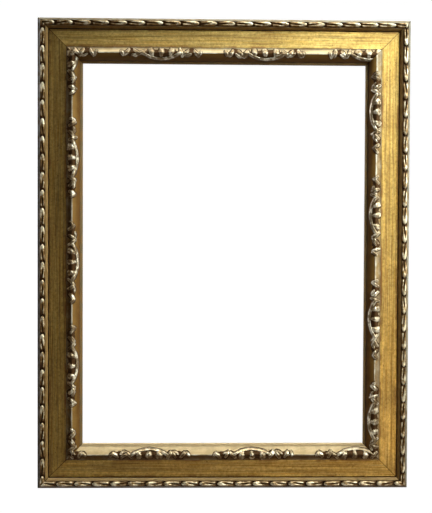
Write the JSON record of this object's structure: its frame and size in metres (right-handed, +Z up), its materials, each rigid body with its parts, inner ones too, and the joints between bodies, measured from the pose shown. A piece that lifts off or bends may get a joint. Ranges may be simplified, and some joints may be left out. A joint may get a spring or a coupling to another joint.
{
  "type": "ornate picture frame",
  "caption": "Gilded wooden picture frame with a flat frieze, a run of leaves round the edge, foliage sprays on the sight moulding, and ring hangers behind.",
  "frame": {"origin": "middle of the frame's outline, in the wall plane that its back lies against", "axes": "+Z up, +X to the right seen from the front, +Y into the wall; the front faces -Y"},
  "size_m": [0.584, 0.0405, 0.737],
  "materials": {
    "gilded_frieze": "brushed metal leaf toned with umber, bare wood behind",
    "gilded_edge": "toned metal leaf with a grey wash",
    "gilded_leaves": "rubbed metal leaf, dark in the hollows",
    "gilded_sight": "metal leaf under dark umber",
    "gilded_foliage": "pale rubbed leaf, dark in the hollows",
    "nail_steel": "plain rolled steel",
    "hanger_steel": "zinc plated steel"
  },
  "bodies": {
    "frame": {"rail_top": "gilded_frieze", "rail_right": "gilded_frieze", "rail_bottom": "gilded_frieze", "rail_left": "gilded_frieze", "edge_moulding_top": "gilded_edge", "edge_moulding_right": "gilded_edge", "edge_moulding_bottom": "gilded_edge", "edge_moulding_left": "gilded_edge", "leaf_band_top": "gilded_leaves", "leaf_band_right": "gilded_leaves", "leaf_band_bottom": "gilded_leaves", "leaf_band_left": "gilded_leaves", "sight_moulding_top": "gilded_sight", "sight_moulding_right": "gilded_sight", "sight_moulding_bottom": "gilded_sight", "sight_moulding_left": "gilded_sight", "foliage_top": "gilded_foliage", "foliage_right": "gilded_foliage", "foliage_bottom": "gilded_foliage", "foliage_left": "gilded_foliage", "mitre_nails": "nail_steel", "hanger_strap_left": "hanger_steel", "hanger_strap_right": "hanger_steel", "hanger_screws": "hanger_steel"},
    "ring_left": {"hanger_ring_left": "hanger_steel"},
    "ring_right": {"hanger_ring_right": "hanger_steel"}
  },
  "joints": [
    {"name": "ring_left_swing", "type": "hinge", "parent": "frame", "child": "ring_left", "pos_m": [-0.26075, 0.00258, 0.18425], "axis": [1, 0, 0], "range_deg": [0, 175]},
    {"name": "ring_right_swing", "type": "hinge", "parent": "frame", "child": "ring_right", "pos_m": [0.26075, 0.00258, 0.18425], "axis": [1, 0, 0], "range_deg": [0, 175]}
  ]
}
